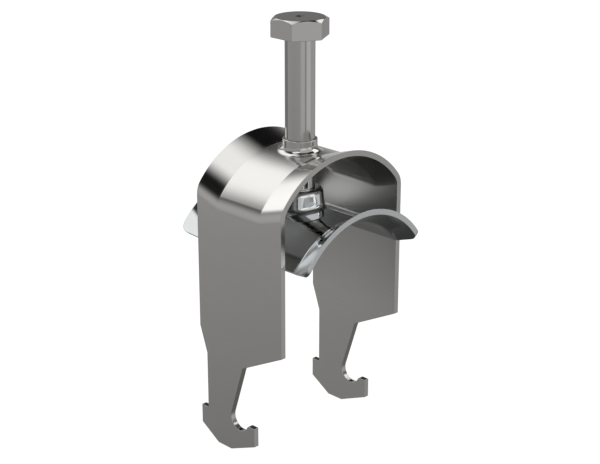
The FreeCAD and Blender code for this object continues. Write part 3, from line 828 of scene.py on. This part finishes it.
def softbox_group():
    """A mask that is one in the directions where a rectangular softbox stands.

    The direction is seen on a plane that faces the softbox: its distance from the middle,
    across and up, is its product with the side or top vector over its product with the facing
    vector. The mask falls from one to nought between each half size less and plus its edge.
    """
    nodes, given, result = new_group(
        "Softbox",
        [(label, "NodeSocketVector", (0, 0, 1)) for label in ("Direction", "Facing", "Side", "Top")]
        + [(label, "NodeSocketFloat", 0.1) for label in BOX_SIZES],
        [("Mask", "NodeSocketFloat")])
    field = given.outputs
    ahead = nodes.dot(field["Direction"], field["Facing"])
    mask = nodes.math("GREATER_THAN", ahead, 0.001)
    borders = (("Side", "Half width", "Right edge", 1.0), ("Side", "Half width", "Left edge", -1.0),
               ("Top", "Half height", "End edge", 1.0), ("Top", "Half height", "End edge", -1.0))
    for axis, half, edge, sign in borders:
        off = nodes.math("DIVIDE", nodes.dot(field["Direction"], field[axis]), ahead)
        span = {"Value": nodes.math("MULTIPLY", off, sign),
                "From Min": nodes.math("SUBTRACT", field[half], field[edge]),
                "From Max": nodes.math("ADD", field[half], field[edge]),
                "To Min": 1.0, "To Max": 0.0}
        fall = nodes.add("ShaderNodeMapRange", span, interpolation_type="SMOOTHSTEP")
        mask = nodes.math("MULTIPLY", mask, fall.outputs["Result"])
    nodes.fill(result, {"Mask": mask})
    return nodes.tree


def studio_light():
    """Grey walls under a dark ceiling, with softboxes; the camera sees plain white."""
    world = bpy.data.worlds.new("Studio")
    world.use_nodes = True
    world.node_tree.nodes.clear()
    nodes = Nodes(world.node_tree)
    direction = nodes.add("ShaderNodeTexCoord").outputs["Generated"]
    height = nodes.dot(direction, Vector(WALL_AXIS).normalized())
    level = nodes.math("MULTIPLY_ADD", height, 0.5, 0.5)
    stops = [(math.sin(math.radians(elevation)) / 2 + 0.5, value) for elevation, value in WALL_LIGHT]
    light = nodes.ramp(level, stops)
    softbox = softbox_group()
    for name, azimuth, elevation, roll, *angles, power in SOFTBOXES:
        facing, upper = direction_to(azimuth, elevation), direction_to(azimuth, elevation + 90.0)
        level_side, lean = facing.cross(upper), math.radians(roll)
        given = {"Direction": direction, "Facing": facing,
                 "Side": level_side * math.cos(lean) + upper * math.sin(lean),
                 "Top": upper * math.cos(lean) - level_side * math.sin(lean)}
        given.update((label, math.tan(math.radians(angle))) for label, angle in zip(BOX_SIZES, angles))
        box = nodes.add("ShaderNodeGroup", given, node_tree=softbox, label=name)
        light = nodes.math("MULTIPLY_ADD", box.outputs["Mask"], power, light)
    studio = nodes.add("ShaderNodeBackground", {"Color": light})
    paper = nodes.add("ShaderNodeBackground", {"Color": WHITE})
    seen = nodes.add("ShaderNodeLightPath").outputs["Is Camera Ray"]
    mix = nodes.add("ShaderNodeMixShader", {0: seen, 1: studio.outputs[0], 2: paper.outputs[0]})
    nodes.add("ShaderNodeOutputWorld", {"Surface": mix.outputs[0]})
    return world


def floor_paper():
    """White paper that is lit from within enough to stay pale beside dark steel."""
    material = bpy.data.materials.new("Floor paper")
    material.use_nodes = True
    shader = material.node_tree.nodes["Principled BSDF"]
    Nodes(material.node_tree).fill(shader, {
        "Base Color": FLOOR_GREY, "Roughness": 1.0, "Specular IOR Level": 0.0,
        "Emission Color": WHITE, "Emission Strength": FLOOR_GLOW})
    return material


def steel_group():
    """Small changes of tone, gloss and height that steel sheet and bar have.

    Broad clouds of noise change the tone and the gloss by a few percent. Fine noise, stretched
    by the place that it is given, is the grain that rolling or turning leaves. The dullness,
    from nought to one, adds its share of the dull roughness.
    """
    nodes, given, result = new_group(
        "Steel surface",
        [("Place", "NodeSocketVector", (0, 0, 0)), ("Colour", "NodeSocketColor", WHITE)]
        + [(label, "NodeSocketFloat", value) for label, value in (
            ("Dullness", 0.0), ("Tone", 1.0), ("Roughness", 0.2), ("Dull roughness", 0.0),
            ("Clouds", 0.06), ("Cloud scale", 70.0), ("Grain scale", 900.0))],
        [("Colour", "NodeSocketColor"), ("Roughness", "NodeSocketFloat"),
         ("Height", "NodeSocketFloat")])
    field = given.outputs
    cloud = nodes.add("ShaderNodeTexNoise", {"Vector": field["Place"], "Scale": field["Cloud scale"],
                                             "Detail": 3.0}).outputs["Fac"]
    grain = nodes.add("ShaderNodeTexNoise", {"Vector": field["Place"], "Scale": field["Grain scale"],
                                             "Detail": 4.0, "Roughness": 0.6}).outputs["Fac"]
    swing = nodes.math("MULTIPLY", nodes.math("SUBTRACT", cloud, 0.5), field["Clouds"])
    fine = nodes.math("MULTIPLY", nodes.math("SUBTRACT", grain, 0.5), field["Clouds"])
    # the Tone input scales the colour: lower on the cut edges and pressed flares, and painted shade in
    # the arch, the bore, the centre mark and round the collar
    tone = nodes.math("MULTIPLY", nodes.math("ADD", nodes.math("ADD", 1.0, swing), fine), field["Tone"])
    rough = nodes.math("MULTIPLY_ADD", field["Dullness"], field["Dull roughness"], field["Roughness"])
    rough = nodes.math("MULTIPLY", rough, nodes.math("MULTIPLY_ADD", swing, 4.0, 1.0))
    colour = nodes.add("ShaderNodeVectorMath", {0: field["Colour"], "Scale": tone}, operation="SCALE")
    nodes.fill(result, {"Colour": colour.outputs["Vector"], "Roughness": rough, "Height": grain})
    return nodes.tree


def steel(name, colour, roughness, grain):
    """A steel of a colour and a roughness, with its own grain.

    The grain runs along the axes where the scale of its field is smallest.
    """
    dull_roughness, scale, relief = grain
    material = bpy.data.materials.new(name)
    material.use_nodes = True
    nodes = Nodes(material.node_tree)
    place = nodes.add("ShaderNodeMapping", {
        "Vector": nodes.add("ShaderNodeTexCoord").outputs["Object"], "Scale": scale})
    # the tone attribute darkens the colour: on the cut edges and flares, and as painted shade in the
    # arch, the bore, the centre mark and round the collar
    dull, tone = (nodes.add("ShaderNodeAttribute", attribute_name=field).outputs["Fac"]
                  for field in ("dull", "tone"))
    surface = bpy.data.node_groups.get("Steel surface") or steel_group()
    skin = nodes.add("ShaderNodeGroup", {
        "Place": place.outputs["Vector"], "Dullness": dull, "Tone": tone, "Colour": (*colour, 1.0),
        "Roughness": roughness, "Dull roughness": dull_roughness}, node_tree=surface).outputs
    bump = nodes.add("ShaderNodeBump", {
        "Height": skin["Height"], "Strength": relief, "Distance": GRAIN_DEPTH})
    nodes.fill(material.node_tree.nodes["Principled BSDF"], {
        "Base Color": skin["Colour"], "Roughness": skin["Roughness"],
        "Normal": bump.outputs["Normal"], "Metallic": 1.0})
    return material


def fit(piece, node, body, material):
    """Give a piece its material and its place in the model."""
    piece.data.materials.append(material)
    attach(piece, body)
    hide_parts(node)


class CLAMP_OT_strap(bpy.types.Operator):
    """Build the bent strap with its flared arch, hooked legs and drawn collar."""

    bl_idname = "clamp.strap"
    bl_label = "Strap"

    def execute(self, context):
        finish, size = context.scene.clamp_finish, context.scene.clamp_strap
        metal = steel("Satin strap steel", finish.strap, finish.strap_gloss, SATIN_GRAIN)
        fit(build_strap(size), "clamp_strap", "strap", metal)
        return {"FINISHED"}


class CLAMP_OT_bolt(bpy.types.Operator):
    """Build the hexagon bolt and the washer that holds the tray on its end."""

    bl_idname = "clamp.bolt"
    bl_label = "Bolt and washer"

    def execute(self, context):
        finish, size = context.scene.clamp_finish, context.scene.clamp_bolt
        metal = steel("Turned bolt steel", finish.bolt, finish.bolt_gloss, TURNED_GRAIN)
        fit(build_bolt(size), "hex_bolt", "bolt", metal)
        fit(build_washer(size), "retaining_washer", "bolt", metal)
        return {"FINISHED"}


class CLAMP_OT_tray(bpy.types.Operator):
    """Build the pressure tray with its flared ends and its drawn boss."""

    bl_idname = "clamp.tray"
    bl_label = "Pressure tray"

    def execute(self, context):
        finish, size = context.scene.clamp_finish, context.scene.clamp_tray
        metal = steel("Polished tray steel", finish.tray, finish.tray_gloss, MIRROR_GRAIN)
        fit(build_tray(size), "pressure_tray", "tray", metal)
        return {"FINISHED"}


class CLAMP_OT_stage(bpy.types.Operator):
    """Build the pale floor, the soft studio light and the camera."""

    bl_idname = "clamp.stage"
    bl_label = "Stage"

    def execute(self, context):
        scene = context.scene
        scene.view_settings.view_transform = "Standard"
        half = FLOOR_SIZE / 2
        mesh = bpy.data.meshes.new("floor")
        corners = [(-half, -half, 0), (half, -half, 0), (half, half, 0), (-half, half, 0)]
        mesh.from_pydata(corners, [], [(0, 1, 2, 3)])
        floor = bpy.data.objects.new("floor", mesh)
        floor.visible_glossy = False
        mesh.materials.append(floor_paper())
        scene.collection.objects.link(floor)
        scene.world = studio_light()
        camera = bpy.data.cameras.new("photo_view")
        camera.lens, camera.sensor_width = CAMERA_LENS, FILM_WIDTH
        eye = bpy.data.objects.new("photo_view", camera)
        scene.collection.objects.link(eye)
        eye.location = CAMERA_PLACE
        eye.rotation_euler = direction_to(*CAMERA_AIM).to_track_quat("-Z", "Y").to_euler()
        scene.camera = eye
        return {"FINISHED"}


class CLAMP_PT_panel(bpy.types.Panel):
    """The clamp's pieces and sizes."""

    bl_label = "Cable Clamp"
    bl_space_type = "VIEW_3D"
    bl_region_type = "UI"
    bl_category = "Cable Clamp"

    def draw(self, context):
        for operator in OPERATORS:
            self.layout.operator(operator.bl_idname)
        for attribute, _ in GROUPS:
            group = getattr(context.scene, attribute)
            box = self.layout.box()
            for name in group.__annotations__:
                box.prop(group, name)


OPERATORS = (CLAMP_OT_strap, CLAMP_OT_bolt, CLAMP_OT_tray, CLAMP_OT_stage)
GROUPS = (("clamp_strap", StrapSizes), ("clamp_bolt", BoltSizes), ("clamp_tray", TraySizes),
          ("clamp_finish", FinishColours))


def register():
    for attribute, group in GROUPS:
        bpy.utils.register_class(group)
        setattr(bpy.types.Scene, attribute, bpy.props.PointerProperty(type=group))
    for operator in OPERATORS:
        bpy.utils.register_class(operator)
    bpy.utils.register_class(CLAMP_PT_panel)


def unregister():
    bpy.utils.unregister_class(CLAMP_PT_panel)
    for operator in reversed(OPERATORS):
        bpy.utils.unregister_class(operator)
    for attribute, group in reversed(GROUPS):
        delattr(bpy.types.Scene, attribute)
        bpy.utils.unregister_class(group)


def main():
    register()
    bpy.ops.clamp.strap()
    bpy.ops.clamp.bolt()
    bpy.ops.clamp.tray()
    bpy.ops.clamp.stage()


if __name__ == "__main__":
    main()
